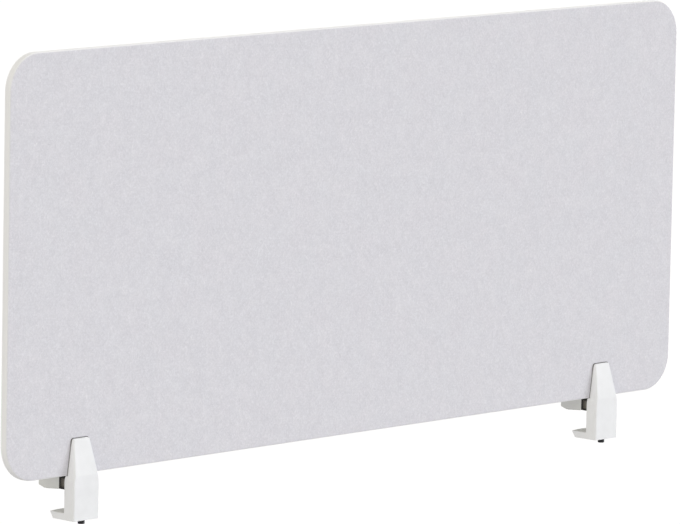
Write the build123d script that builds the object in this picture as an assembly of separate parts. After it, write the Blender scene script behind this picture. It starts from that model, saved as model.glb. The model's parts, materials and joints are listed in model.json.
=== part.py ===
# Acoustic divider screen for a desk edge: a felt board held by two screw clamps.
# Millimetres. X runs along the board, +Y points over the desk, +Z is up.
# Origin: mid-length of the board, on the plane of the desk's edge, at the level of the desk's underside.
from build123d import *
import math
import os

# Felt board
board_length = 1400.0
board_height = 600.0
board_thickness = 12.0
board_corner_radius = 53.0
board_overhang = 3.5  # the board's front face stands this far outside the desk's edge
board_base_z = 53.0  # the board's bottom edge over the desk's underside

# Each clamp's middle from the board's end on its side
left_clamp_inset = 142.0
right_clamp_inset = 159.0

# Clamp body: one casting with the front plate, the upright and the lower jaw
body_width = 50.0
body_depth = 19.0
body_edge_round = 3.0
plate_rise = 52.0  # the plate's top over the board's bottom edge
plate_base_inset = 1.75  # from the body's side to the plate's, at the board's bottom edge
plate_top_inset = 9.0
plate_top_thickness = 3.2
plate_top_radius = 4.0
plate_wall = 2.6
crease_round = 12.0
shoulder_height = 6.0
shoulder_round = 18.0
ledge_round = 2.0
lower_jaw_thickness = 9.5
lower_jaw_corner_reach = 28.5
lower_jaw_bulge = 4.0
lower_jaw_nose_angle = 32.0  # degrees
jaw_root_fillet = 1.5
least_sharp_angle = 12.0  # degrees between two faces, for an edge to be rounded

# Guide channel, its back lips and slot
channel_width = 30.0
channel_front_wall = 4.0
lip_thickness = 2.5
floor_thickness = 9.0
slot_width = 18.0
slot_end_clearance = 2.0

# Bosses and ribs inside the front plate
boss_diameter = 9.0
rib_thickness = 2.0
rib_base_lift = 6.0  # the upright rib's lower end over the board's bottom edge

# Pads against the felt
felt_pad_thickness = 1.0
felt_pad_rim = 0.8

# Rear plate
rear_plate_thickness = 2.0
rear_plate_lift = 3.0  # over the board's bottom edge
rear_corner_cut = 3.5

# Small low-head screws, two for the board and one for the upper jaw
small_screw_diameter = 4.0
small_screw_head_diameter = 7.0
small_screw_head_height = 2.2
hole_clearance = 0.25
thread_clearance = 0.05
board_screw_length = 20.0
board_screw_lift = 13.0  # the lower screw over the board's bottom edge
board_screw_spacing = 19.0

# Clamp screw, turned from below
clamp_screw_diameter = 6.0
clamp_screw_length = 60.0
clamp_screw_head_diameter = 10.0
clamp_screw_head_height = 6.4
clamp_screw_socket_flats = 5.0
clamp_screw_socket_depth = 3.0
end_float = 0.1
running_clearance = 0.06
clip_groove_depth = 0.6
clip_groove_width = 0.9
clip_width = 9.6
clip_corner_cut = 2.0
clip_thickness = 0.7
clip_clearance = 0.05

# Slide block
travel = 18.0
block_base_z = 33.0
block_height = 19.0
block_inset = 1.0  # from the body's side to the block's
block_reach = 12.0
block_gap = 0.3  # from the upright's back to the block
block_edge_cut = 0.8
guide_clearance = 0.15
pocket_depth = 3.0
pocket_rim = 3.4
pocket_front_rim = 0.9  # beside the upright
nut_flats = 10.0
nut_thickness = 5.0
nut_lift = 6.0
nut_clearance = 0.1

# Upper jaw
jaw_reach = 54.0
jaw_bulge = 3.5
jaw_toe_y = 42.5
jaw_toe_drop = 2.6
jaw_nose_rise = 3.4
jaw_nose_thickness = 7.7
jaw_flat_length = 12.0
jaw_back_round = 18.0
jaw_edge_cut = 0.9
tongue_width = 24.0
tongue_length = 20.0
tongue_thickness = 8.0
tongue_lift = 5.5
jaw_screw_length = 8.0
jaw_screw_inset = 8.0
jaw_screw_sink = 2.5  # the head's seat under the jaw's flat top

# Rubber pads let into both jaws
grip_pad_thickness = 1.5
grip_pad_proud = 0.5
grip_pad_rim = 1.5
upper_pad_length = 24.0
upper_pad_start = 4.0

# One overrun serves every cut that goes right through
overrun = 1.0

# Places, levels and planes that several pieces share
clamp_places = {"left": left_clamp_inset - board_length / 2, "right": board_length / 2 - right_clamp_inset}
plate_base_width = body_width - 2 * plate_base_inset
plate_top_width = body_width - 2 * plate_top_inset
block_width = body_width - 2 * block_inset
board_front_y = -board_overhang
board_back_y = board_front_y + board_thickness
plate_back_y = board_front_y - felt_pad_thickness
plate_top_front_y = plate_back_y - plate_top_thickness
plate_top_z = board_base_z + plate_rise
body_front_y = -body_depth
lower_jaw_top_z = -grip_pad_proud
body_base_z = lower_jaw_top_z - lower_jaw_thickness
channel_front_y = body_front_y + channel_front_wall
channel_back_y = -lip_thickness
channel_floor_z = body_base_z + floor_thickness
screw_y = (channel_front_y + channel_back_y) / 2
slot_base_z = block_base_z - travel - slot_end_clearance
block_top_z = block_base_z + block_height
rear_pad_back_y = board_back_y + felt_pad_thickness
rear_plate_back_y = rear_pad_back_y + rear_plate_thickness
rear_plate_base_z = board_base_z + rear_plate_lift
low_screw_z = board_base_z + board_screw_lift
board_screw_heights = [low_screw_z, low_screw_z + board_screw_spacing]
board_screw_tip_y = rear_plate_back_y - board_screw_length
head_top_z = body_base_z - end_float
head_base_z = head_top_z - clamp_screw_head_height
screw_tip_z = head_top_z + clamp_screw_length
clip_base_z = channel_floor_z + end_float
jaw_screw_y = block_reach + jaw_screw_inset
jaw_screw_seat_z = block_top_z - jaw_screw_sink
grip_recess = grip_pad_thickness - grip_pad_proud


def box_between(x_range, y_range, z_range):
    """A box from its low and high faces on each axis."""
    ranges = (x_range, y_range, z_range)
    middle = [(low + high) / 2 for low, high in ranges]
    return Pos(*middle) * Box(*[high - low for low, high in ranges])


def front_slab(sketch, y_low, y_high):
    """An outline drawn in X and Z, given depth along Y."""
    return extrude(Pos(0, y_high, 0) * (Plane.XZ * sketch), y_high - y_low)


def side_slab(sketch, width):
    """A profile drawn in Y and Z, given a width along X about the middle."""
    return extrude(Plane.YZ * sketch, width / 2, both=True)


def level_slab(sketch, z_low, z_high):
    """An outline drawn in X and Y, given height along Z."""
    return extrude(Pos(0, 0, z_low) * sketch, z_high - z_low)


def bar_along_y(diameter, y_low, y_high, x=0, z=0):
    """A round bar between two Y planes."""
    bar = Cylinder(diameter / 2, y_high - y_low, rotation=(90, 0, 0))
    return Pos(x, (y_low + y_high) / 2, z) * bar


def bar_along_z(diameter, z_low, z_high, x=0, y=0):
    """A round bar between two levels."""
    return Pos(x, y, (z_low + z_high) / 2) * Cylinder(diameter / 2, z_high - z_low)


def half_width_at(z):
    """Half the tapered plate's width at a level."""
    share = (z - board_base_z) / plate_rise
    return (plate_base_width + (plate_top_width - plate_base_width) * share) / 2


def front_face_at(z):
    """Y of the plate's sloping front face at a level."""
    share = (z - board_base_z) / (plate_top_z - board_base_z)
    return body_front_y + (plate_top_front_y - body_front_y) * share


def tapered_outline(base_z, top_z, rim):
    """The outline in X and Z that the plate, the pads and the rear plate share."""
    low = half_width_at(base_z) + rim
    high = half_width_at(top_z) + rim
    points = [(-low, base_z), (low, base_z), (high, top_z), (-high, top_z)]
    return Polygon(*points, align=None)


def body_outline():
    """The casting from the front: upright sides swell out of the tapered plate over a rounded shoulder."""
    right_side = [
        (body_width / 2, body_base_z),
        (body_width / 2, board_base_z - shoulder_height),
        (plate_base_width / 2, board_base_z),
        (plate_top_width / 2, plate_top_z),
    ]
    left_side = [(-x, z) for x, z in reversed(right_side)]
    face = Polygon(*right_side, *left_side, align=None)
    levels = face.vertices().group_by(Axis.Y)
    face = fillet(levels[1] + levels[2], shoulder_round)
    return fillet(face.vertices().group_by(Axis.Y)[-1], plate_top_radius)


def upright_profile():
    """The plate and the upright from the side, before the board's place is cut, with the soft crease in front."""
    points = [
        (0, plate_top_z),
        (plate_top_front_y, plate_top_z),
        (body_front_y, board_base_z),
        (body_front_y, body_base_z),
        (0, body_base_z),
    ]
    face = Polygon(*points, align=None)
    crease = face.vertices().sort_by_distance((body_front_y, board_base_z))[0]
    return fillet(crease, crease_round)


def board_place():
    """The space behind the plate that the pad and the board take, down to the ledge with its rounded back."""
    round_start_y = -ledge_round
    round_end_z = board_base_z - ledge_round
    top_z = plate_top_z + overrun
    edges = [
        Line((round_start_y, board_base_z), (plate_back_y, board_base_z)),
        Line((plate_back_y, board_base_z), (plate_back_y, top_z)),
        Line((plate_back_y, top_z), (overrun, top_z)),
        Line((overrun, top_z), (overrun, round_end_z)),
        Line((overrun, round_end_z), (0, round_end_z)),
        JernArc((0, round_end_z), (0, 1), ledge_round, 90),
    ]
    return side_slab(make_face(edges), body_width + 2 * overrun)


def nose_radius(width, bulge):
    """The radius of a nose that bulges between the corners of a jaw."""
    return (width**2 / 4 + bulge**2) / (2 * bulge)


def lower_jaw():
    """The fixed jaw: its nose is a slice of a cone that leans in towards the bottom."""
    lean = lower_jaw_thickness * math.tan(math.radians(lower_jaw_nose_angle))
    top_radius = nose_radius(body_width, lower_jaw_bulge)
    end_y = lower_jaw_corner_reach + lower_jaw_bulge
    half = body_width / 2
    slab = box_between((-half, half), (-lip_thickness, end_y), (body_base_z, lower_jaw_top_z))
    middle_z = (body_base_z + lower_jaw_top_z) / 2
    return slab & Pos(0, end_y - top_radius, middle_z) * Cone(top_radius - lean, top_radius, lower_jaw_thickness)


def plate_hollow():
    """The hollow behind the front plate, open to the felt and down into the guide channel."""
    top_z = plate_top_z - 2 * plate_wall
    outline = tapered_outline(board_base_z, top_z, -plate_wall)
    points = [
        (channel_back_y + overrun, board_base_z),
        (channel_back_y + overrun, top_z),
        (front_face_at(top_z) + plate_wall, top_z),
        (front_face_at(board_base_z) + plate_wall, board_base_z),
    ]
    depth = side_slab(Polygon(*points, align=None), body_width)
    return front_slab(outline, body_front_y, 0) & depth


def plate_bosses():
    """The screw bosses and the ribs that tie them to the plate's walls."""
    solids = []
    for z in board_screw_heights:
        solids.append(bar_along_y(boss_diameter, body_front_y, plate_back_y, z=z))
        half = half_width_at(z)
        rib_z = (z - rib_thickness / 2, z + rib_thickness / 2)
        solids.append(box_between((-half, half), (body_front_y, plate_back_y), rib_z))
    rib_x = (-rib_thickness / 2, rib_thickness / 2)
    rib_z = (board_base_z + rib_base_lift, plate_top_z)
    solids.append(box_between(rib_x, (body_front_y, plate_back_y), rib_z))
    return solids


def sharp_edges(solid):
    """The edges where two faces meet at a real angle, without the seams of rounded faces."""
    faces_at = {}
    for face in solid.faces():
        for edge in face.edges():
            faces_at.setdefault(edge, []).append(face)
    sharp = ShapeList()
    for edge, faces in faces_at.items():
        normals = [face.normal_at(edge @ 0.5) for face in faces]
        if normals[0].get_angle(normals[-1]) > least_sharp_angle:
            sharp.append(edge)
    return sharp


def rounded_upright():
    """The upright and the plate in one block, with all its front edges but the base's rounded."""
    outline = front_slab(body_outline(), body_front_y - overrun, overrun)
    upright = outline & side_slab(upright_profile(), body_width + 2 * overrun)
    front = sharp_edges(upright).filter_by(lambda edge: edge.bounding_box().max.Y < channel_back_y)
    return fillet(front.filter_by(lambda edge: edge.center().Z > body_base_z + body_edge_round), body_edge_round)


def clamp_body():
    """The casting: plate, upright and lower jaw in one, hollow behind the plate and along the guide channel."""
    skin = rounded_upright() + lower_jaw()
    root = skin.edges().filter_by(Axis.X).sort_by_distance((0, 0, lower_jaw_top_z))[0]
    skin = fillet(root, jaw_root_fillet) - board_place()
    channel_x = (-channel_width / 2, channel_width / 2)
    channel = box_between(channel_x, (channel_front_y, channel_back_y), (channel_floor_z, board_base_z))
    slot_x = (-slot_width / 2, slot_width / 2)
    slot = box_between(slot_x, (channel_back_y - overrun, overrun), (slot_base_z, board_base_z + overrun))
    ribs = [solid & skin for solid in plate_bosses()]
    body = skin - plate_hollow() + ribs
    bore = clamp_screw_diameter + 2 * running_clearance
    body -= [channel, slot, bar_along_z(bore, body_base_z - overrun, channel_floor_z + overrun, y=screw_y)]
    thread = small_screw_diameter + 2 * thread_clearance
    for z in board_screw_heights:
        body -= bar_along_y(thread, board_screw_tip_y, 0, z=z)
    return body - lower_pad_slab(lower_jaw_top_z + overrun)


def lower_pad_slab(top_z):
    """The lower pad's form up to a level: the jaw's top outline with an even rim."""
    radius = nose_radius(body_width, lower_jaw_bulge) - grip_pad_rim
    nose_y = lower_jaw_corner_reach + lower_jaw_bulge - grip_pad_rim
    half = body_width / 2 - grip_pad_rim
    start_y = jaw_root_fillet + grip_pad_rim
    base_z = lower_jaw_top_z - grip_recess
    slab = box_between((-half, half), (start_y, nose_y), (base_z, top_z))
    return slab & bar_along_z(2 * radius, base_z, top_z, y=nose_y - radius)


def lower_grip_pad():
    """The rubber pad in the lower jaw."""
    return lower_pad_slab(lower_jaw_top_z + grip_pad_proud)


def screw_slot():
    """The pads' slot in X and Z, which lets both board screws through."""
    width = small_screw_diameter + 2 * hole_clearance
    middle_z = sum(board_screw_heights) / len(board_screw_heights)
    return Pos(0, middle_z) * Rectangle(width, board_screw_spacing + width)


def front_pad():
    """The thin black pad between the front plate and the felt, a little larger than the plate."""
    outline = tapered_outline(board_base_z, plate_top_z + felt_pad_rim, felt_pad_rim)
    outline = fillet(outline.vertices().group_by(Axis.Y)[-1], plate_top_radius)
    return front_slab(outline - screw_slot(), plate_back_y, board_front_y)


def rear_pad():
    """The thin black pad between the felt and the rear plate, a little larger than the plate."""
    outline = tapered_outline(rear_plate_base_z - felt_pad_rim, plate_top_z + felt_pad_rim, felt_pad_rim)
    outline = chamfer(outline.vertices(), rear_corner_cut)
    return front_slab(outline - screw_slot(), board_back_y, rear_pad_back_y)


def small_screw(length):
    """A low-head screw, head up, with its head's seat at the origin."""
    head = bar_along_z(small_screw_head_diameter, 0, small_screw_head_height)
    return head + bar_along_z(small_screw_diameter, -length, 0)


def at_board_screws(solid):
    """Copies of an upright solid laid along Y, seated on the rear plate's back."""
    return [Pos(0, rear_plate_back_y, z) * Rot(-90, 0, 0) * solid for z in board_screw_heights]


def at_jaw_screw(solid):
    """An upright solid at the upper jaw's screw, seated in its counterbore."""
    return Pos(0, jaw_screw_y, jaw_screw_seat_z) * solid


def rear_plate():
    """The steel plate behind the board, with its two screw holes."""
    outline = tapered_outline(rear_plate_base_z, plate_top_z, 0)
    outline = chamfer(outline.vertices(), rear_corner_cut)
    plate = front_slab(outline, rear_pad_back_y, rear_plate_back_y)
    hole = small_screw_diameter + 2 * hole_clearance
    for z in board_screw_heights:
        plate -= bar_along_y(hole, rear_pad_back_y - overrun, rear_plate_back_y + overrun, z=z)
    return plate


def clamp_screw():
    """The socket cap screw that stands up through the body's floor."""
    head = bar_along_z(clamp_screw_head_diameter, head_base_z, head_top_z, y=screw_y)
    shank = bar_along_z(clamp_screw_diameter, head_top_z, screw_tip_z, y=screw_y)
    groove_low = clip_base_z - (clip_groove_width - clip_thickness) / 2
    groove = bar_along_z(2 * clamp_screw_diameter, groove_low, groove_low + clip_groove_width, y=screw_y)
    neck = clamp_screw_diameter - 2 * clip_groove_depth
    groove -= bar_along_z(neck, groove_low, groove_low + clip_groove_width, y=screw_y)
    socket = Pos(0, screw_y) * RegularPolygon(clamp_screw_socket_flats / 2, 6, major_radius=False)
    socket = level_slab(socket, head_base_z - overrun, head_base_z + clamp_screw_socket_depth)
    return head + shank - groove - socket


def retaining_clip():
    """The fork clip in the screw's groove, just above the body's floor."""
    seat = clamp_screw_diameter - 2 * clip_groove_depth + 2 * clip_clearance
    plate = Rectangle(clip_width, clip_width)
    plate = chamfer(plate.vertices(), clip_corner_cut)
    fork = plate - Circle(seat / 2) - Pos(0, -clip_width / 2) * Rectangle(seat, clip_width)
    return level_slab(Pos(0, screw_y) * fork, clip_base_z, clip_base_z + clip_thickness)


def screw_nut():
    """The square nut held in the slide block."""
    base_z = block_base_z + nut_lift
    nut = Pos(0, screw_y, base_z + nut_thickness / 2) * Box(nut_flats, nut_flats, nut_thickness)
    bore = clamp_screw_diameter + 2 * thread_clearance
    return nut - bar_along_z(bore, base_z - overrun, base_z + nut_thickness + overrun, y=screw_y)


def slide_block():
    """The black block: a carriage in the channel, a neck through the slot, the outer block and the jaw's tongue."""
    heights = (block_base_z, block_top_z)
    carriage_half = channel_width / 2 - guide_clearance
    carriage_y = (channel_front_y + guide_clearance, channel_back_y - guide_clearance)
    carriage = box_between((-carriage_half, carriage_half), carriage_y, heights)
    neck_half = slot_width / 2 - guide_clearance
    neck = box_between((-neck_half, neck_half), (channel_back_y - overrun, block_reach - overrun), heights)
    outer_half = block_width / 2
    outer = box_between((-outer_half, outer_half), (block_gap, block_reach), heights)
    outer = chamfer(outer.edges().filter_by(Axis.Y), block_edge_cut)
    block = carriage + neck + outer + jaw_tongue(0)
    pocket_y = (block_gap + pocket_front_rim, block_reach - pocket_rim)
    pocket_z = (block_base_z + pocket_rim, block_top_z - pocket_rim)
    for side in (-1, 1):
        pocket_x = sorted((side * (outer_half - pocket_depth), side * (outer_half + overrun)))
        block -= box_between(pocket_x, pocket_y, pocket_z)
    nut_half = nut_flats / 2 + nut_clearance
    nut_base_z = block_base_z + nut_lift - nut_clearance
    nut_top_z = nut_base_z + nut_thickness + 2 * nut_clearance
    nut_y = (channel_front_y - overrun, screw_y + nut_half)
    bore = clamp_screw_diameter + 2 * hole_clearance
    block -= box_between((-nut_half, nut_half), nut_y, (nut_base_z, nut_top_z))
    block -= bar_along_z(bore, block_base_z - overrun, block_top_z + overrun, y=screw_y)
    thread = small_screw_diameter + 2 * thread_clearance
    return block - at_jaw_screw(bar_along_z(thread, -jaw_screw_length, 0))


def jaw_tongue(clearance):
    """The tongue that carries the upper jaw; the jaw's socket is the same form with a clearance."""
    half = tongue_width / 2 + clearance
    base_z = block_base_z + tongue_lift
    z_range = (base_z - clearance, base_z + tongue_thickness + clearance)
    return box_between((-half, half), (block_reach - overrun, block_reach + tongue_length + clearance), z_range)


def jaw_profile():
    """The upper jaw from the side: toe-in underside, chamfered nose and a back that falls to the nose."""
    toe_z = block_base_z - jaw_toe_drop
    nose_base_z = toe_z + jaw_nose_rise
    nose_length = jaw_reach - jaw_toe_y
    end_y = jaw_reach + jaw_bulge
    nose_end_z = nose_base_z + jaw_nose_rise * jaw_bulge / nose_length
    nose_top_z = nose_base_z + jaw_nose_thickness
    points = [
        (block_reach, block_base_z),
        (jaw_toe_y, toe_z),
        (end_y, nose_end_z),
        (end_y, nose_top_z),
        (block_reach + jaw_flat_length, block_top_z),
        (block_reach, block_top_z),
    ]
    face = Polygon(*points, align=None)
    bend = face.vertices().sort_by_distance((block_reach + jaw_flat_length, block_top_z))[0]
    return fillet(bend, jaw_back_round)


def toe_plane():
    """The plane of the upper jaw's underside, Z into the jaw and Y towards the nose."""
    run = jaw_toe_y - block_reach
    return Plane(
        origin=(0, block_reach, block_base_z),
        x_dir=(1, 0, 0),
        z_dir=(0, jaw_toe_drop / run, 1),
    )


def upper_pad_slab(low, high):
    """The upper pad's outline between two depths from the jaw's underside."""
    middle = upper_pad_start + upper_pad_length / 2
    outline = Pos(0, middle, low) * Rectangle(block_width - 2 * grip_pad_rim, upper_pad_length)
    return extrude(toe_plane() * outline, high - low)


def upper_jaw():
    """The moving jaw, a hollow-rooted casting that sits over the slide block's tongue."""
    radius = nose_radius(block_width, jaw_bulge)
    nose = bar_along_z(2 * radius, lower_jaw_top_z, board_base_z, y=jaw_reach + jaw_bulge - radius)
    jaw = side_slab(jaw_profile(), block_width) & nose
    root_y = block_reach + block_edge_cut / 2
    bends = jaw.edges().filter_by(Axis.X)
    outer = jaw.edges().filter_by(lambda edge: edge not in bends and edge.bounding_box().max.Y > root_y)
    jaw = chamfer(outer, jaw_edge_cut)
    head = small_screw_head_diameter + 2 * hole_clearance
    shank = small_screw_diameter + 2 * hole_clearance
    jaw -= at_jaw_screw(bar_along_z(head, 0, jaw_screw_sink + overrun))
    jaw -= at_jaw_screw(bar_along_z(shank, -jaw_screw_length, overrun))
    jaw -= jaw_tongue(thread_clearance)
    return jaw - upper_pad_slab(-overrun, grip_recess)


def upper_grip_pad():
    """The rubber pad in the upper jaw's underside."""
    return upper_pad_slab(-grip_pad_proud, grip_recess)


def felt_panel():
    """The felt board with its holes for the clamps' screws."""
    middle_z = board_base_z + board_height / 2
    outline = Pos(0, middle_z) * RectangleRounded(board_length, board_height, board_corner_radius)
    board = front_slab(outline, board_front_y, board_back_y)
    hole = small_screw_diameter + 2 * hole_clearance
    for x in clamp_places.values():
        for z in board_screw_heights:
            board -= bar_along_y(hole, board_front_y - overrun, board_back_y + overrun, x=x, z=z)
    return board


def clamp_pieces():
    """Every piece of one clamp, at the middle of the board's length."""
    return {
        "clamp_body": clamp_body(),
        "front_pad": front_pad(),
        "rear_pad": rear_pad(),
        "rear_plate": rear_plate(),
        "panel_screws": Compound(at_board_screws(small_screw(board_screw_length))),
        "slide_block": slide_block(),
        "upper_jaw": upper_jaw(),
        "upper_jaw_pad": upper_grip_pad(),
        "lower_jaw_pad": lower_grip_pad(),
        "jaw_screw": at_jaw_screw(small_screw(jaw_screw_length)),
        "clamp_screw": clamp_screw(),
        "retaining_clip": retaining_clip(),
        "screw_nut": screw_nut(),
    }


os.makedirs("parts", exist_ok=True)
export_step(felt_panel(), "parts/felt_panel.step")
pieces = clamp_pieces()
for side, place in clamp_places.items():
    for name, piece in pieces.items():
        export_step(Pos(place, 0, 0) * piece, f"parts/{side}_{name}.step")
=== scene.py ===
import json
import math

import bmesh
import bpy
from mathutils import Matrix, Vector
from mathutils.geometry import tessellate_polygon


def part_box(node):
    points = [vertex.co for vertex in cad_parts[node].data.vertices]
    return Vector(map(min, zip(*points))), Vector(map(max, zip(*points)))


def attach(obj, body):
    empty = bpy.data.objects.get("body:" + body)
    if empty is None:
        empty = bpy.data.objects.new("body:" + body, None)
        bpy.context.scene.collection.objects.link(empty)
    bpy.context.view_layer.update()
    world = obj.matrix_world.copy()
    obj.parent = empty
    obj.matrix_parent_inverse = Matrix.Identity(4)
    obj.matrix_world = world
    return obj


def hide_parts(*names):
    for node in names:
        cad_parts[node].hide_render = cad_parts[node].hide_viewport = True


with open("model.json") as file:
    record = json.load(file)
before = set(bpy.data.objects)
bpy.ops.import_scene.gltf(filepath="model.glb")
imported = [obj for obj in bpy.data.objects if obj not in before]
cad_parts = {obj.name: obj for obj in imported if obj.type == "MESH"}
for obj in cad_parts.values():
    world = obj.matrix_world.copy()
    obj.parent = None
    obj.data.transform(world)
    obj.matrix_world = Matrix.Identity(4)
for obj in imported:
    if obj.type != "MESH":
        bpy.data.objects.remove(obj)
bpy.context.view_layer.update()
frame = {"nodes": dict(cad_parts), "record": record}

nodes = frame["nodes"]
clamps = {"left": -0.558, "right": 0.541}  # the middles of the clamps along X

# The slide blocks' side pockets, the top of the pads and the pitch of the grip ribs, in metres
block_low, block_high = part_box("left_slide_block")
jaw_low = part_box("left_upper_jaw")[0]
POCKET_RIM = 0.0034
POCKET_START = 0.0012
POCKET_Y = (POCKET_START, jaw_low[1] - POCKET_RIM)
POCKET_Z = (block_low[2] + POCKET_RIM, block_high[2] - POCKET_RIM)
PAD_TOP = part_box("left_front_pad")[1][2]
GREYING_START = 0.005  # below the pads' top, where their greying begins
GREYING_FULL = 0.012
RIB_PITCH = 0.0024

# Camera: fitted to the board's outline in the photograph
IMAGE_WIDTH = 680
FOCAL_PIXELS = 6510.11
SENSOR = 36.0
CAMERA_PLACE = Vector((-6.82126, -6.48126, 1.58352))
YAW, PITCH, ROLL = 0.808512, 0.135029, -0.019288


def make_camera():
    level = math.cos(PITCH)
    forward = Vector((math.sin(YAW) * level, math.cos(YAW) * level, -math.sin(PITCH)))
    level_right = Vector((math.cos(YAW), -math.sin(YAW), 0.0))
    level_down = forward.cross(level_right)
    right = level_right * math.cos(ROLL) + level_down * math.sin(ROLL)
    down = level_down * math.cos(ROLL) - level_right * math.sin(ROLL)
    turn = Matrix((right, -down, -forward)).transposed().to_4x4()
    data = bpy.data.cameras.new("photo_camera")
    data.sensor_fit = "HORIZONTAL"
    data.sensor_width = SENSOR
    data.lens = SENSOR * FOCAL_PIXELS / IMAGE_WIDTH
    data.clip_start = 0.1
    data.clip_end = 200.0
    camera = bpy.data.objects.new("photo_camera", data)
    bpy.context.scene.collection.objects.link(camera)
    camera.matrix_world = Matrix.Translation(CAMERA_PLACE) @ turn
    bpy.context.scene.camera = camera


# Materials

NONE = (0.0, 0.0, 0.0)  # no turn, no shift


class Nodes:
    """One material's node tree, with short calls for the nodes that the materials share."""

    def __init__(self, name, colour, roughness, metallic=0.0, specular=0.5):
        self.material = bpy.data.materials.new(name)
        self.material.use_nodes = True
        self.material.diffuse_color = (*colour, 1.0)
        self.tree = self.material.node_tree
        self.tree.nodes.clear()
        self.out = self.tree.nodes.new("ShaderNodeOutputMaterial")
        self.shader = self.tree.nodes.new("ShaderNodeBsdfPrincipled")
        self.link(self.shader.outputs["BSDF"], self.out.inputs["Surface"])
        self.put("Base Color", (*colour, 1.0))
        self.put("Roughness", roughness)
        self.put("Metallic", metallic)
        self.put("Specular IOR Level", specular)
        self.place = self.tree.nodes.new("ShaderNodeTexCoord").outputs["Object"]
        self.edge = None

    def link(self, a, b):
        self.tree.links.new(a, b)

    def put(self, socket, value):
        self.shader.inputs[socket].default_value = value

    def stretched(self, scale, turn=NONE, at=NONE):
        """Object coordinates turned and scaled, in cells per metre along each axis."""
        node = self.tree.nodes.new("ShaderNodeMapping")
        node.vector_type = "TEXTURE"
        node.inputs["Rotation"].default_value = turn
        node.inputs["Location"].default_value = at
        node.inputs["Scale"].default_value = [1.0 / s for s in scale]
        self.link(self.place, node.inputs["Vector"])
        return node.outputs["Vector"]

    def noise(self, scale, turn=NONE, at=NONE, detail=2.0, roughness=0.5, distortion=0.0):
        """Noise from 0 to 1, mostly near 0.5; its scale is in cells per metre along each axis."""
        node = self.tree.nodes.new("ShaderNodeTexNoise")
        node.inputs["Scale"].default_value = 1.0
        node.inputs["Detail"].default_value = detail
        node.inputs["Roughness"].default_value = roughness
        node.inputs["Distortion"].default_value = distortion
        self.link(self.stretched(scale, turn, at), node.inputs["Vector"])
        return node.outputs["Fac"]

    def cells(self, scale):
        """The distance to the nearest of scattered points, in cells."""
        node = self.tree.nodes.new("ShaderNodeTexVoronoi")
        node.feature = "F1"
        node.inputs["Scale"].default_value = 1.0
        self.link(self.stretched(scale), node.inputs["Vector"])
        return node.outputs["Distance"]

    def span(self, value, low, high, to_low=0.0, to_high=1.0, smooth=False):
        """Maps a value from one range to another and holds it at the ends."""
        node = self.tree.nodes.new("ShaderNodeMapRange")
        node.interpolation_type = "SMOOTHSTEP" if smooth else "LINEAR"
        node.inputs["From Min"].default_value = low
        node.inputs["From Max"].default_value = high
        node.inputs["To Min"].default_value = to_low
        node.inputs["To Max"].default_value = to_high
        self.link(value, node.inputs["Value"])
        return node.outputs["Result"]

    def maths(self, operation, a, b=None):
        node = self.tree.nodes.new("ShaderNodeMath")
        node.operation = operation
        for socket, value in zip(node.inputs, (a, b)):
            if value is None:
                continue
            if isinstance(value, (int, float)):
                socket.default_value = value
            else:
                self.link(value, socket)
        return node.outputs["Value"]

    def joined(self, operation, values):
        """Joins four values pairwise by a maximum, a minimum or a sum."""
        while len(values) > 1:
            values = [self.maths(operation, *values[k : k + 2]) for k in range(0, len(values), 2)]
        return values[0]

    def axis(self, name):
        """One of the object coordinates, in metres."""
        node = self.tree.nodes.new("ShaderNodeSeparateXYZ")
        self.link(self.place, node.inputs["Vector"])
        return node.outputs[name]

    def attribute(self, name):
        node = self.tree.nodes.new("ShaderNodeAttribute")
        node.attribute_type = "GEOMETRY"
        node.attribute_name = name
        return node.outputs["Fac"]

    def soft_edges(self, radius):
        """Rounds every edge of the shading by a radius in metres."""
        node = self.tree.nodes.new("ShaderNodeBevel")
        node.samples = 6
        node.inputs["Radius"].default_value = radius
        self.edge = node.outputs["Normal"]

    def mix(self, share, a, b):
        """A colour between a and b; each is a colour or a socket."""
        node = self.tree.nodes.new("ShaderNodeMix")
        node.data_type = "RGBA"
        for name, value in (("A_Color", a), ("B_Color", b)):
            socket = next(s for s in node.inputs if s.identifier == name)
            if isinstance(value, tuple):
                socket.default_value = (*value, 1.0)
            else:
                self.link(value, socket)
        factor = next(s for s in node.inputs if s.identifier == "Factor_Float")
        self.link(share, factor)
        return next(s for s in node.outputs if s.identifier == "Result_Color")

    def colour(self, socket):
        self.link(socket, self.shader.inputs["Base Color"])

    def rough(self, socket):
        self.link(socket, self.shader.inputs["Roughness"])

    def bump(self, *layers):
        """Chains bump nodes; each layer is a height socket, its depth in metres and a strength."""
        last = self.edge
        for height, depth, strength in layers:
            node = self.tree.nodes.new("ShaderNodeBump")
            node.inputs["Distance"].default_value = depth
            node.inputs["Strength"].default_value = strength
            self.link(height, node.inputs["Height"])
            if last is not None:
                self.link(last, node.inputs["Normal"])
            last = node.outputs["Normal"]
        self.link(last, self.shader.inputs["Normal"])


FIBRE_TURNS = (8.0, 52.0, 97.0, 139.0)  # degrees in the board's plane
FELT = {
    "mean": (0.735, 0.72, 0.765),
    "warm": (0.849, 0.832, 0.888),
    "cool": (0.836, 0.835, 0.891),
    "tuft": (0.652, 0.642, 0.691),
    "fleck": (0.662, 0.654, 0.702),
    "tangle": (0.604, 0.597, 0.643),
    "patch": (0.881, 0.873, 0.907),
    "fibre": (0.950, 0.950, 0.950),
    "gap": (0.530, 0.529, 0.575),
    # cut: the cut edge's paler tone, partly the cut fibres' own and partly a painted highlight
    "cut": (0.955, 0.955, 0.965),
    "cut_layer": (0.88, 0.88, 0.90),
}


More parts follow.
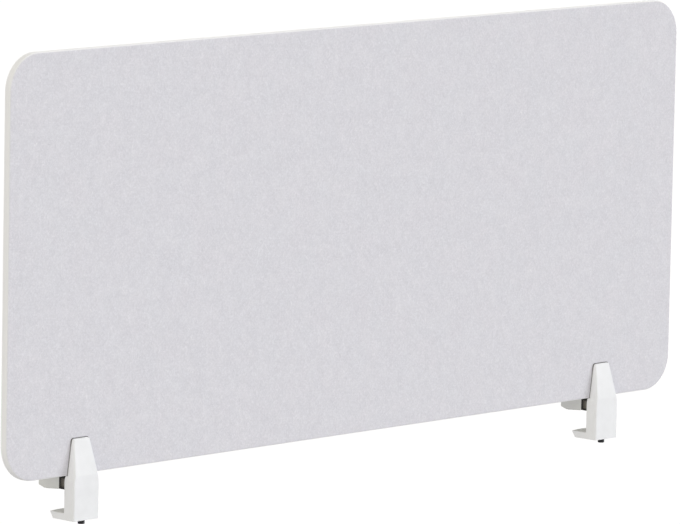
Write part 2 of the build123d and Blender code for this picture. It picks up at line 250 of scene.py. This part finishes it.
def felt():
    """Pressed polyester felt: its fibres lie every way in the board, and its cut edge is paler,
    partly from its own paler cut fibres and partly as a painted highlight along the rounded edge.
    """
    m = Nodes("felt", FELT["mean"], 0.95, specular=0.10)
    m.put("Sheen Weight", 0.10)
    m.put("Sheen Roughness", 0.6)
    fibres = []
    for k, degrees in enumerate(FIBRE_TURNS):
        turn = (0.0, math.radians(degrees), 0.0)
        at = (0.013 * k, 0.007 * k, 0.021 * k)
        fibres.append(
            m.noise((70.0, 900.0, 560.0), turn, at, detail=3.0, roughness=0.65, distortion=0.5)
        )
    crossed = m.joined("MAXIMUM", fibres)
    under = m.joined("MINIMUM", fibres)
    summed = m.joined("ADD", fibres)
    tufts = m.noise((310.0, 310.0, 310.0), detail=3.0, roughness=0.75, distortion=0.4)
    flecks = m.noise(
        (230.0, 230.0, 260.0), at=(0.04, 0.09, 0.06), detail=3.0, roughness=0.65, distortion=0.6
    )
    patches = m.noise((60.0, 60.0, 60.0), at=(0.11, 0.02, 0.07), detail=3.0, roughness=0.6)
    hues = m.noise((24.0, 24.0, 24.0), at=(0.3, 0.1, 0.2), detail=3.0, roughness=0.6)
    layers = m.noise((45.0, 1700.0, 45.0), at=(0.05, 0.002, 0.03), detail=2.0, roughness=0.5)
    base = m.mix(m.span(hues, 0.36, 0.64), FELT["warm"], FELT["cool"])
    for share, name in (
        (m.span(tufts, 0.34, 0.66, 0.72, 0.0), "tuft"),
        (m.span(flecks, 0.34, 0.66, 0.52, 0.0), "fleck"),
        (m.span(summed, 1.66, 2.34, 0.38, 0.0), "tangle"),
        (m.span(patches, 0.40, 0.68, 0.0, 0.16), "patch"),
        (m.span(crossed, 0.66, 0.78, 0.0, 0.55, True), "fibre"),
        (m.span(under, 0.34, 0.22, 0.0, 0.50, True), "gap"),
    ):
        base = m.mix(share, base, FELT[name])
    cut = m.mix(m.span(layers, 0.40, 0.70, 0.0, 0.5), FELT["cut"], FELT["cut_layer"])
    # The cut edge and its rounding take the paler cut colour, which is partly a painted highlight
    m.colour(m.mix(m.attribute("cut_edge_and_highlight"), base, cut))
    m.rough(m.span(tufts, 0.3, 0.7, 0.90, 1.0))
    m.bump(
        (crossed, 0.00018, 0.55),
        (summed, 0.00012, 0.5),
        (tufts, 0.0002, 0.3),
        (layers, 0.00012, 0.3),
    )
    return m.material


PAINT_DARKER, PAINT_LIGHTER, PAINT_WHITEST = 0.965, 1.015, 0.94


def white_paint(name, tint):
    """White powder coat: orange peel, a faint drift of tone, glossier on its high spots."""
    m = Nodes(name, tint, 0.55, specular=0.22)
    m.soft_edges(0.0006)
    peel = m.noise((620.0, 620.0, 620.0), detail=2.0, roughness=0.55)
    grain = m.noise((2600.0, 2600.0, 2600.0), detail=1.0)
    drift = m.noise((38.0, 38.0, 38.0), at=(0.2, 0.4, 0.1), detail=3.0)
    darker = tuple(c * PAINT_DARKER for c in tint)
    lighter = tuple(min(c * PAINT_LIGHTER, PAINT_WHITEST) for c in tint)
    m.colour(m.mix(m.span(drift, 0.3, 0.7), darker, lighter))
    m.rough(m.span(peel, 0.3, 0.7, 0.62, 0.50))
    m.bump((peel, 0.00006, 0.28), (grain, 0.00002, 0.22))
    return m.material


def black_pad():
    """Thin black foam rubber, greyed from a little below its top edge downward."""
    m = Nodes("black_pad", (0.08, 0.08, 0.08), 0.9, specular=0.2)
    pores = m.cells((1500.0, 1500.0, 1500.0))
    blotch = m.noise((240.0, 240.0, 240.0), detail=3.0)
    clean = m.mix(m.span(blotch, 0.3, 0.7), (0.065, 0.065, 0.066), (0.115, 0.114, 0.112))
    greyed_below_top = m.span(m.axis("Z"), PAD_TOP - GREYING_START, PAD_TOP - GREYING_FULL, 0.0, 0.9)
    greyed_below_top = m.maths("MULTIPLY", greyed_below_top, m.span(blotch, 0.1, 0.5, 0.7, 1.0))
    m.colour(m.mix(greyed_below_top, clean, (0.38, 0.375, 0.385)))
    m.rough(m.span(pores, 0.0, 0.6, 0.72, 0.95))
    m.bump((pores, 0.00012, 0.5))
    return m.material


def grip_rubber():
    """Grey grip rubber with a dusty bloom, and painted shade in the grooves between its ribs."""
    m = Nodes("grip_rubber", (0.64, 0.64, 0.62), 0.8, specular=0.3)
    m.soft_edges(0.00012)
    wave = m.maths("SINE", m.maths("MULTIPLY", m.axis("Y"), math.pi / RIB_PITCH))
    # Painted shade: the colour darkens in the grooves between the ribs
    groove = m.span(m.maths("ABSOLUTE", wave), 0.0, 0.35, 0.55, 0.0)
    mottle = m.noise((180.0, 180.0, 180.0), detail=4.0, roughness=0.6)
    grain = m.noise((2400.0, 2400.0, 2400.0), detail=1.0)
    base = m.mix(m.span(mottle, 0.35, 0.7), (0.62, 0.62, 0.60), (0.70, 0.70, 0.68))
    m.colour(m.mix(groove, base, (0.44, 0.44, 0.425)))
    m.rough(m.span(mottle, 0.3, 0.7, 0.72, 0.92))
    m.bump((grain, 0.00004, 0.4))
    return m.material


FACE_BLACK, FACE_GREY = 0.0001, 0.0004  # depths below the block's side
WALL_BLACK, WALL_GREY = 0.0005, 0.0002  # distances past the pocket's walls


def in_pockets(m):
    """1 on the walls and floors of the slide blocks' side pockets, 0 elsewhere."""
    reach = [
        m.maths("ABSOLUTE", m.maths("SUBTRACT", m.axis("X"), place)) for place in clamps.values()
    ]
    half = (block_high[0] - block_low[0]) / 2
    inside = m.span(m.maths("MINIMUM", *reach), half - FACE_BLACK, half - FACE_GREY)
    for name, (low, high) in (("Y", POCKET_Y), ("Z", POCKET_Z)):
        value = m.axis(name)
        above = m.span(value, low - WALL_BLACK, low - WALL_GREY)
        below = m.span(value, high + WALL_BLACK, high + WALL_GREY)
        inside = m.maths("MULTIPLY", inside, m.maths("MULTIPLY", above, below))
    return inside


def black_nylon():
    """Moulded black nylon: spark-eroded grain, and grey in the recessed side pockets, lighter than
    the nylon round them; on the pockets' walls this grey is painted light.
    """
    m = Nodes("black_nylon", (0.022, 0.021, 0.02), 0.6, specular=0.2)
    m.soft_edges(0.0004)
    grain = m.cells((1900.0, 1900.0, 1900.0))
    flow = m.noise((60.0, 300.0, 300.0), detail=3.0, roughness=0.6)
    base = m.mix(m.span(flow, 0.3, 0.7), (0.012, 0.011, 0.010), (0.026, 0.024, 0.022))
    mottle = m.noise((420.0, 420.0, 420.0), detail=3.0)
    grey = m.mix(m.span(mottle, 0.3, 0.7), (0.20, 0.186, 0.168), (0.26, 0.242, 0.22))
    # The pockets' walls and floors turn grey; on the walls this grey is painted light
    m.colour(m.mix(in_pockets(m), base, grey))
    m.rough(m.span(flow, 0.3, 0.7, 0.52, 0.70))
    m.bump((grain, 0.00005, 0.4))
    return m.material


def oxide_steel(name, tone, roughness):
    """Blackened or bright steel with fine scratches along Z and handling marks."""
    m = Nodes(name, tone, roughness, metallic=0.9)
    m.soft_edges(0.00025)
    marks = m.noise((900.0, 900.0, 90.0), detail=4.0, roughness=0.7)
    worn = m.noise((260.0, 260.0, 260.0), at=(0.7, 0.2, 0.5), detail=4.0, roughness=0.65)
    light = tuple(min(1.0, c * 2.4 + 0.02) for c in tone)
    m.colour(m.mix(m.span(worn, 0.5, 0.78, 0.0, 0.6), tone, light))
    m.rough(m.span(marks, 0.3, 0.7, roughness - 0.08, roughness + 0.14))
    m.bump((marks, 0.00003, 0.4))
    return m.material


materials = {
    "felt": felt(),
    "white_cast": white_paint("white_cast", (0.882, 0.890, 0.914)),
    # The upper jaws' paint is the white darkened, as painted shade for the board's shadow on them
    "jaw_cast_painted_shade": white_paint("jaw_cast_painted_shade", (0.758, 0.763, 0.742)),
    "white_plate": white_paint("white_plate", (0.867, 0.875, 0.897)),
    "black_pad": black_pad(),
    "grey_rubber": grip_rubber(),
    "black_nylon": black_nylon(),
    "black_steel": oxide_steel("black_steel", (0.03, 0.03, 0.032), 0.38),
    "spring_steel": oxide_steel("spring_steel", (0.20, 0.195, 0.19), 0.36),
    "nut_steel": oxide_steel("nut_steel", (0.55, 0.55, 0.54), 0.34),
}


def dress(piece, slot):
    piece.data.materials.clear()
    piece.data.materials.append(materials[slot])


# The upper jaws are painted a little greyer than the bodies: painted shade for the board's shadow,
# which falls on them
for part in frame["record"]["subparts"]:
    node = part["node"]
    dress(nodes[node], "jaw_cast_painted_shade" if node.endswith("upper_jaw") else part["material_slot"])


# Pieces that replace plain nodes

def centre(node):
    low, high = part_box(node)
    return [(a + b) / 2 for a, b in zip(low, high)]


def join_rings(faces, first, second, count):
    """Adds quads between two closed rings of vertices."""
    for k in range(count):
        n = (k + 1) % count
        faces.append((first + k, first + n, second + n, second + k))


MERGE = 1e-7


def finish_piece(name, verts, faces, node, body, slot, smooth_below):
    """Makes a piece from mesh data in the row frame and puts it in its node's place.

    Edges that turn by less than smooth_below degrees are shaded smooth.
    """
    mesh = bpy.data.meshes.new(name)
    mesh.from_pydata(verts, [], faces)
    work = bmesh.new()
    work.from_mesh(mesh)
    bmesh.ops.remove_doubles(work, verts=work.verts, dist=MERGE)
    bmesh.ops.recalc_face_normals(work, faces=work.faces)
    work.to_mesh(mesh)
    work.free()
    mesh.shade_smooth()
    mesh.set_sharp_from_angle(angle=math.radians(smooth_below))
    piece = bpy.data.objects.new(name, mesh)
    bpy.context.scene.collection.objects.link(piece)
    mesh.materials.append(materials[slot])
    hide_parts(node)
    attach(piece, body)
    return piece


# Felt board with softened cut edges
CORNER_RADIUS = 0.053
CORNER_STEPS = 22
EDGE_ROUND = 0.0026
EDGE_BORDER = 0.0004  # flat border that keeps the shading of the rounding off the faces
EDGE_STEPS = 5
HOLE_RADIUS = 0.00225
HOLE_STEPS = 24


def board_outline(inset, low, high):
    """The board's rounded outline in X and Z, moved in by an inset."""
    radius = CORNER_RADIUS - inset
    points = []
    left, right, base, top = low[0], high[0], low[2], high[2]
    corners = ((right, top, 0), (left, top, 1), (left, base, 2), (right, base, 3))
    for x, z, quarter in corners:
        cx = x - math.copysign(CORNER_RADIUS, x)
        cz = z - (CORNER_RADIUS if z == top else -CORNER_RADIUS)
        for k in range(CORNER_STEPS + 1):
            angle = math.pi / 2 * (quarter + k / CORNER_STEPS)
            points.append((cx + radius * math.cos(angle), cz + radius * math.sin(angle)))
    return points


def make_felt():
    """The board with rounded cut edges and its four screw holes; an attribute marks the cut edge
    and its rounding, which take the paler cut colour with its painted highlight.
    """
    low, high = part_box("felt_panel")
    front, back = low[1], high[1]
    profile = [(EDGE_ROUND + EDGE_BORDER, 0.0)]
    for k in range(EDGE_STEPS + 1):
        angle = math.pi / 2 * k / EDGE_STEPS
        profile.append((EDGE_ROUND * (1 - math.sin(angle)), EDGE_ROUND * (1 - math.cos(angle))))
    rings = [(inset, front + depth) for inset, depth in profile]
    rings += [(inset, back - depth) for inset, depth in reversed(profile)]
    verts, faces = [], []
    count = 4 * (CORNER_STEPS + 1)
    for index, (inset, y) in enumerate(rings):
        verts += [(x, y, z) for x, z in board_outline(inset, low, high)]
        if index:
            join_rings(faces, (index - 1) * count, index * count, count)
    holes = []
    for side in clamps:
        screws_low, screws_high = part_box(f"{side}_panel_screws")
        head = (screws_high[0] - screws_low[0]) / 2
        for z in (screws_low[2] + head, screws_high[2] - head):
            holes.append((clamps[side], z))
    caps = []
    for y, ring in ((front, 0), (back, (len(rings) - 1) * count)):
        loops = [list(range(ring, ring + count))]
        for x, z in holes:
            start = len(verts)
            for k in range(HOLE_STEPS):
                angle = -2 * math.pi * k / HOLE_STEPS
                across, up = HOLE_RADIUS * math.cos(angle), HOLE_RADIUS * math.sin(angle)
                verts.append((x + across, y, z + up))
            loops.append(list(range(start, start + HOLE_STEPS)))
        caps.append(loops)
    for loops in caps:
        order = [index for loop in loops for index in loop]
        flat = [[Vector((verts[i][0], verts[i][2], 0.0)) for i in loop] for loop in loops]
        faces += [tuple(order[i] for i in face) for face in tessellate_polygon(flat)]
    for first, second in zip(caps[0][1:], caps[1][1:]):
        join_rings(faces, first[0], second[0], HOLE_STEPS)
    piece = finish_piece("felt_board", verts, faces, "felt_panel", "screen", "felt", 35.0)
    # Marks where the paler cut colour, partly a painted highlight, goes
    attribute = piece.data.attributes.new("cut_edge_and_highlight", "FLOAT", "POINT")
    for vertex, value in zip(piece.data.vertices, attribute.data):
        x, y, z = vertex.co
        hole = min(math.dist((x, z), place) for place in holes) < 2 * HOLE_RADIUS
        depth = min(y - front, back - y)
        value.value = 0.0 if hole else min(1.0, 3.0 * depth / EDGE_ROUND)


# Screws, in metres
THREAD_STEPS = 20
HEAD_STEPS = 72
THREAD_DEPTH = 0.54  # share of the pitch
THREAD_SINK = 0.00002  # how far the thread's foot lies inside the core
M6 = {"head_radius": 0.005, "socket": 0.005, "depth": 0.003, "shank": 0.003, "pitch": 0.001}
M6_KNURL = 0.00016
M6_NECK = 0.0024
M4 = {"socket": 0.0025, "depth": 0.0014, "shank": 0.002, "pitch": 0.0007}
M4_HEAD_HEIGHT = 0.0022
SOCKET_CHAMFER = 0.0003
CLIP_GAP = 0.0001
CLAMP_SCREW_PLAIN = 0.0006  # unthreaded length above the clip's groove
BOARD_SCREW_PLAIN = 0.004
JAW_SCREW_PLAIN = 0.0025


def hexagon(angle, flats):
    """The distance from the middle to a hexagon's side."""
    part = (angle % (math.pi / 3)) - math.pi / 6
    return flats / 2 / math.cos(part)


def screw_mesh(
    head_radius, head_height, socket, depth, shank, length, plain, pitch, knurl=0.0, groove=()
):
    """Rings and a thread for a screw that stands head down, its head's seat at 0.

    The tip is at the length, and the thread starts at plain. The socket is given across its flats.
    A groove is its two levels and its neck's radius.
    """
    verts, faces = [], []
    cut = head_radius * 0.09
    core = shank - pitch * THREAD_DEPTH

    def ring(z, radius):
        start = len(verts)
        for k in range(HEAD_STEPS):
            angle = 2 * math.pi * k / HEAD_STEPS
            r = radius(angle, k)
            verts.append((r * math.cos(angle), r * math.sin(angle), z))
        return start

    def fan(start, z):
        """Closes a ring with triangles round its middle."""
        verts.append((0.0, 0.0, z))
        middle = len(verts) - 1
        faces.extend((start + k, start + (k + 1) % HEAD_STEPS, middle) for k in range(HEAD_STEPS))

    def knurled(angle, k):
        return head_radius - (knurl if k % 2 else 0.0)

    floor = ring(-head_height + depth, lambda a, k: hexagon(a, socket) * 0.98)
    levels = [
        ring(-head_height + depth, lambda a, k: hexagon(a, socket)),
        ring(-head_height + SOCKET_CHAMFER, lambda a, k: hexagon(a, socket)),
        ring(-head_height, lambda a, k: hexagon(a, socket) + SOCKET_CHAMFER),
        ring(-head_height, lambda a, k: head_radius - cut),
        ring(-head_height + cut * 0.3, lambda a, k: head_radius - cut * 0.3),
        ring(-head_height + cut, lambda a, k: head_radius),
        ring(-head_height + cut * 1.3, knurled),
        ring(-cut * 1.2, knurled),
        ring(-cut, lambda a, k: head_radius),
        ring(-cut * 0.3, lambda a, k: head_radius - cut * 0.3),
        ring(0.0, lambda a, k: head_radius - cut),
        ring(0.0, lambda a, k: shank),
    ]
    if groove:
        bottom, top, neck = groove
        for z, radius in ((bottom, shank), (bottom, neck), (top, neck), (top, shank)):
            levels.append(ring(z, lambda a, k, radius=radius: radius))
    levels.append(ring(plain, lambda a, k: shank))
    levels.append(ring(plain + pitch * 0.5, lambda a, k: core))
    join_rings(faces, floor, levels[0], HEAD_STEPS)
    for first, second in zip(levels, levels[1:]):
        join_rings(faces, first, second, HEAD_STEPS)
    fan(floor, -head_height + depth)
    end = ring(length - pitch * 0.6, lambda a, k: core)
    tip = ring(length, lambda a, k: core - pitch * 0.35)
    join_rings(faces, levels[-1], end, HEAD_STEPS)
    join_rings(faces, end, tip, HEAD_STEPS)
    fan(tip, length)
    turns = int((length - plain - pitch * 1.2) / pitch)
    foot = core - THREAD_SINK
    wave = ((foot, 0.10), (shank, 0.44), (shank, 0.56), (foot, 0.90))
    start = len(verts)
    steps = turns * THREAD_STEPS
    for k in range(steps + 1):
        angle = 2 * math.pi * k / THREAD_STEPS
        fade = min(1.0, k / THREAD_STEPS, (steps - k) / THREAD_STEPS)
        for radius, share in wave:
            r = core + (radius - core) * fade if radius > core else radius
            z = plain + pitch * (k / THREAD_STEPS + share)
            verts.append((r * math.cos(angle), r * math.sin(angle), z))
        if k:
            join_rings(faces, start + 4 * (k - 1), start + 4 * k, 4)
    last = start + 4 * steps
    faces += [tuple(range(start, start + 4)), tuple(range(last, last + 4))]
    return verts, faces


def make_clamp_screw(side):
    """The M6 socket cap screw with the clip's groove above its plain neck."""
    node = f"{side}_clamp_screw"
    low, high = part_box(node)
    x, y, _ = centre(node)
    body_low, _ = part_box(f"{side}_clamp_body")
    seat = body_low[2] - CLIP_GAP
    clip_low, clip_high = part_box(f"{side}_retaining_clip")
    groove = (clip_low[2] - seat - CLIP_GAP, clip_high[2] - seat + CLIP_GAP, M6_NECK)
    verts, faces = screw_mesh(
        head_height=seat - low[2],
        length=high[2] - seat,
        plain=groove[1] + CLAMP_SCREW_PLAIN,
        knurl=M6_KNURL,
        groove=groove,
        **M6,
    )
    verts = [(x + a, y + b, seat + c) for a, b, c in verts]
    finish_piece(f"{side}_socket_screw", verts, faces, node, f"{side}_screw", "black_steel", 40.0)


def make_small_screws(side):
    """The two board screws, heads to the back, and the upper jaw's screw, head up."""
    node = f"{side}_panel_screws"
    low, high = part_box(node)
    radius = (high[0] - low[0]) / 2
    height = M4_HEAD_HEIGHT
    length = high[1] - low[1] - height
    verts, faces = screw_mesh(radius, height, length=length, plain=BOARD_SCREW_PLAIN, **M4)
    pair, pair_faces = [], []
    for z in (low[2] + radius, high[2] - radius):
        start = len(pair)
        pair += [(clamps[side] + a, high[1] - height - c, z + b) for a, b, c in verts]
        pair_faces += [tuple(start + i for i in face) for face in faces]
    finish_piece(f"{side}_board_screws", pair, pair_faces, node, "screen", "black_steel", 40.0)
    node = f"{side}_jaw_screw"
    low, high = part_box(node)
    x, y, _ = centre(node)
    length = high[2] - low[2] - height
    verts, faces = screw_mesh(radius, height, length=length, plain=JAW_SCREW_PLAIN, **M4)
    verts = [(x + a, y - b, high[2] - height - c) for a, b, c in verts]
    finish_piece(f"{side}_upper_jaw_screw", verts, faces, node, f"{side}_jaw", "black_steel", 40.0)


# Grip pads with moulded ribs
GROOVE_TOP = 0.00045  # half a groove's width at the grip face
GROOVE_FLOOR = 0.0002
GROOVE_DEPTH = 0.00035
FLAT = 1e-5  # how far from the grip face a vertex may lie and still be on it


def make_ribbed_pad(name, node, body, facing):
    """The node's own pad with grooves across its grip face, which looks up (1) or down (-1)."""
    work = bmesh.new()
    work.from_mesh(nodes[node].data)
    bmesh.ops.remove_doubles(work, verts=work.verts, dist=MERGE)
    bmesh.ops.dissolve_limit(
        work, angle_limit=math.radians(0.5), verts=work.verts[:], edges=work.edges[:]
    )
    work.normal_update()
    grip = max(work.faces, key=lambda face: face.calc_area() * (face.normal.z * facing > 0.9))
    normal = grip.normal.copy()
    point = grip.verts[0].co.copy()
    low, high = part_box(node)
    middles = [
        k * RIB_PITCH
        for k in range(math.floor(low[1] / RIB_PITCH), math.ceil(high[1] / RIB_PITCH) + 1)
        if low[1] + 2 * GROOVE_TOP < k * RIB_PITCH < high[1] - 2 * GROOVE_TOP
    ]
    for middle in middles:
        for offset in (-GROOVE_TOP, -GROOVE_FLOOR, GROOVE_FLOOR, GROOVE_TOP):
            bmesh.ops.bisect_plane(
                work,
                geom=work.verts[:] + work.edges[:] + work.faces[:],
                dist=MERGE,
                plane_co=(0.0, middle + offset, 0.0),
                plane_no=(0.0, 1.0, 0.0),
            )
    for vertex in work.verts:
        if abs((vertex.co - point).dot(normal)) < FLAT:
            away = min(abs(vertex.co.y - middle) for middle in middles)
            share = (GROOVE_TOP - away) / (GROOVE_TOP - GROOVE_FLOOR)
            vertex.co -= normal * GROOVE_DEPTH * max(0.0, min(1.0, share))
    work.verts.index_update()
    verts = [tuple(vertex.co) for vertex in work.verts]
    faces = [tuple(vertex.index for vertex in face.verts) for face in work.faces]
    work.free()
    finish_piece(name, verts, faces, node, body, "grey_rubber", 25.0)


make_felt()
for side in clamps:
    make_clamp_screw(side)
    make_small_screws(side)
    make_ribbed_pad(f"{side}_ribbed_upper_pad", f"{side}_upper_jaw_pad", f"{side}_jaw", -1)
    make_ribbed_pad(f"{side}_ribbed_lower_pad", f"{side}_lower_jaw_pad", "screen", 1)

# Floor, world and lamps
FLOOR_Z = -0.74  # a desk top's height under the clamps
FLOOR_HALF = 60.0
FILL = (0.60, 0.592, 0.575)
GROUND = (0.68, 0.68, 0.695)
FLOOR_DRIFT = 0.03  # share by which the floor's tone drifts each way
FLOOR_GLOW = 0.47  # lifts the seen floor to white where no shadow falls
LAMP_SOFTNESS = 40.0  # degrees
WHITE = (1.0, 1.0, 1.0, 1.0)


def ray_is_seen(tree):
    """1 for rays that show the background: camera, glossy and transmission rays."""
    path = tree.nodes.new("ShaderNodeLightPath")
    total = path.outputs["Is Camera Ray"]
    for name in ("Is Glossy Ray", "Is Transmission Ray"):
        add = tree.nodes.new("ShaderNodeMath")
        add.operation = "MAXIMUM"
        tree.links.new(total, add.inputs[0])
        tree.links.new(path.outputs[name], add.inputs[1])
        total = add.outputs["Value"]
    return total


def make_world():
    """A soft fill from all sides, behind which the seen background is white."""
    world = bpy.data.worlds.new("studio")
    bpy.context.scene.world = world
    world.use_nodes = True
    tree = world.node_tree
    tree.nodes.clear()
    out = tree.nodes.new("ShaderNodeOutputWorld")
    fill = tree.nodes.new("ShaderNodeBackground")
    fill.inputs["Color"].default_value = (*FILL, 1.0)
    white = tree.nodes.new("ShaderNodeBackground")
    white.inputs["Color"].default_value = WHITE
    either = tree.nodes.new("ShaderNodeMixShader")
    tree.links.new(ray_is_seen(tree), either.inputs["Fac"])
    tree.links.new(fill.outputs["Background"], either.inputs[1])
    tree.links.new(white.outputs["Background"], either.inputs[2])
    tree.links.new(either.outputs["Shader"], out.inputs["Surface"])


def make_floor():
    """A wide pale floor at the room floor's level, which shows white where no shadow falls."""
    mesh = bpy.data.meshes.new("floor")
    corners = ((-1, -1), (1, -1), (1, 1), (-1, 1))
    verts = [(FLOOR_HALF * x, FLOOR_HALF * y, FLOOR_Z) for x, y in corners]
    mesh.from_pydata(verts, [], [(0, 1, 2, 3)])
    floor = bpy.data.objects.new("floor", mesh)
    bpy.context.scene.collection.objects.link(floor)
    material = bpy.data.materials.new("floor_paint")
    material.use_nodes = True
    tree = material.node_tree
    tree.nodes.clear()
    out = tree.nodes.new("ShaderNodeOutputMaterial")
    diffuse = tree.nodes.new("ShaderNodeBsdfDiffuse")
    colour = tree.nodes.new("ShaderNodeMix")
    colour.data_type = "RGBA"
    place = tree.nodes.new("ShaderNodeTexCoord")
    speck = tree.nodes.new("ShaderNodeTexNoise")
    speck.inputs["Scale"].default_value = 30.0
    speck.inputs["Detail"].default_value = 4.0
    tree.links.new(place.outputs["Object"], speck.inputs["Vector"])
    sockets = {s.identifier: s for s in colour.inputs}
    sockets["A_Color"].default_value = (*[c * (1 - FLOOR_DRIFT) for c in GROUND], 1.0)
    sockets["B_Color"].default_value = (*[c * (1 + FLOOR_DRIFT) for c in GROUND], 1.0)
    tree.links.new(speck.outputs["Fac"], sockets["Factor_Float"])
    mixed = next(s for s in colour.outputs if s.identifier == "Result_Color")
    tree.links.new(mixed, diffuse.inputs["Color"])
    glow = tree.nodes.new("ShaderNodeEmission")
    glow.inputs["Color"].default_value = WHITE
    lift = tree.nodes.new("ShaderNodeMath")
    lift.operation = "MULTIPLY"
    lift.inputs[1].default_value = FLOOR_GLOW
    tree.links.new(ray_is_seen(tree), lift.inputs[0])
    tree.links.new(lift.outputs["Value"], glow.inputs["Strength"])
    both = tree.nodes.new("ShaderNodeAddShader")
    tree.links.new(diffuse.outputs["BSDF"], both.inputs[0])
    tree.links.new(glow.outputs["Emission"], both.inputs[1])
    tree.links.new(both.outputs["Shader"], out.inputs["Surface"])
    mesh.materials.append(material)


def make_lamp(name, towards, level, colour):
    """A distant soft lamp.

    towards points from the object to the lamp, and level is what a facing white shows.
    """
    data = bpy.data.lights.new(name, "SUN")
    data.energy = level * math.pi
    data.color = colour
    data.angle = math.radians(LAMP_SOFTNESS)
    lamp = bpy.data.objects.new(name, data)
    bpy.context.scene.collection.objects.link(lamp)
    lamp.rotation_mode = "QUATERNION"
    lamp.rotation_quaternion = Vector(towards).to_track_quat("Z", "Y")


make_world()
make_floor()
make_lamp("key_lamp", (0.75, -0.66, 0.18), 0.553, (0.938, 0.967, 1.0))
make_lamp("left_lamp", (-0.8, -0.3, 0.45), 0.215, (1.0, 0.95, 0.79))
make_lamp("back_lamp", (0.3, 0.85, 0.2), 0.24, (1.0, 0.99, 0.97))
make_camera()

view = bpy.context.scene.view_settings
view.view_transform = "Standard"
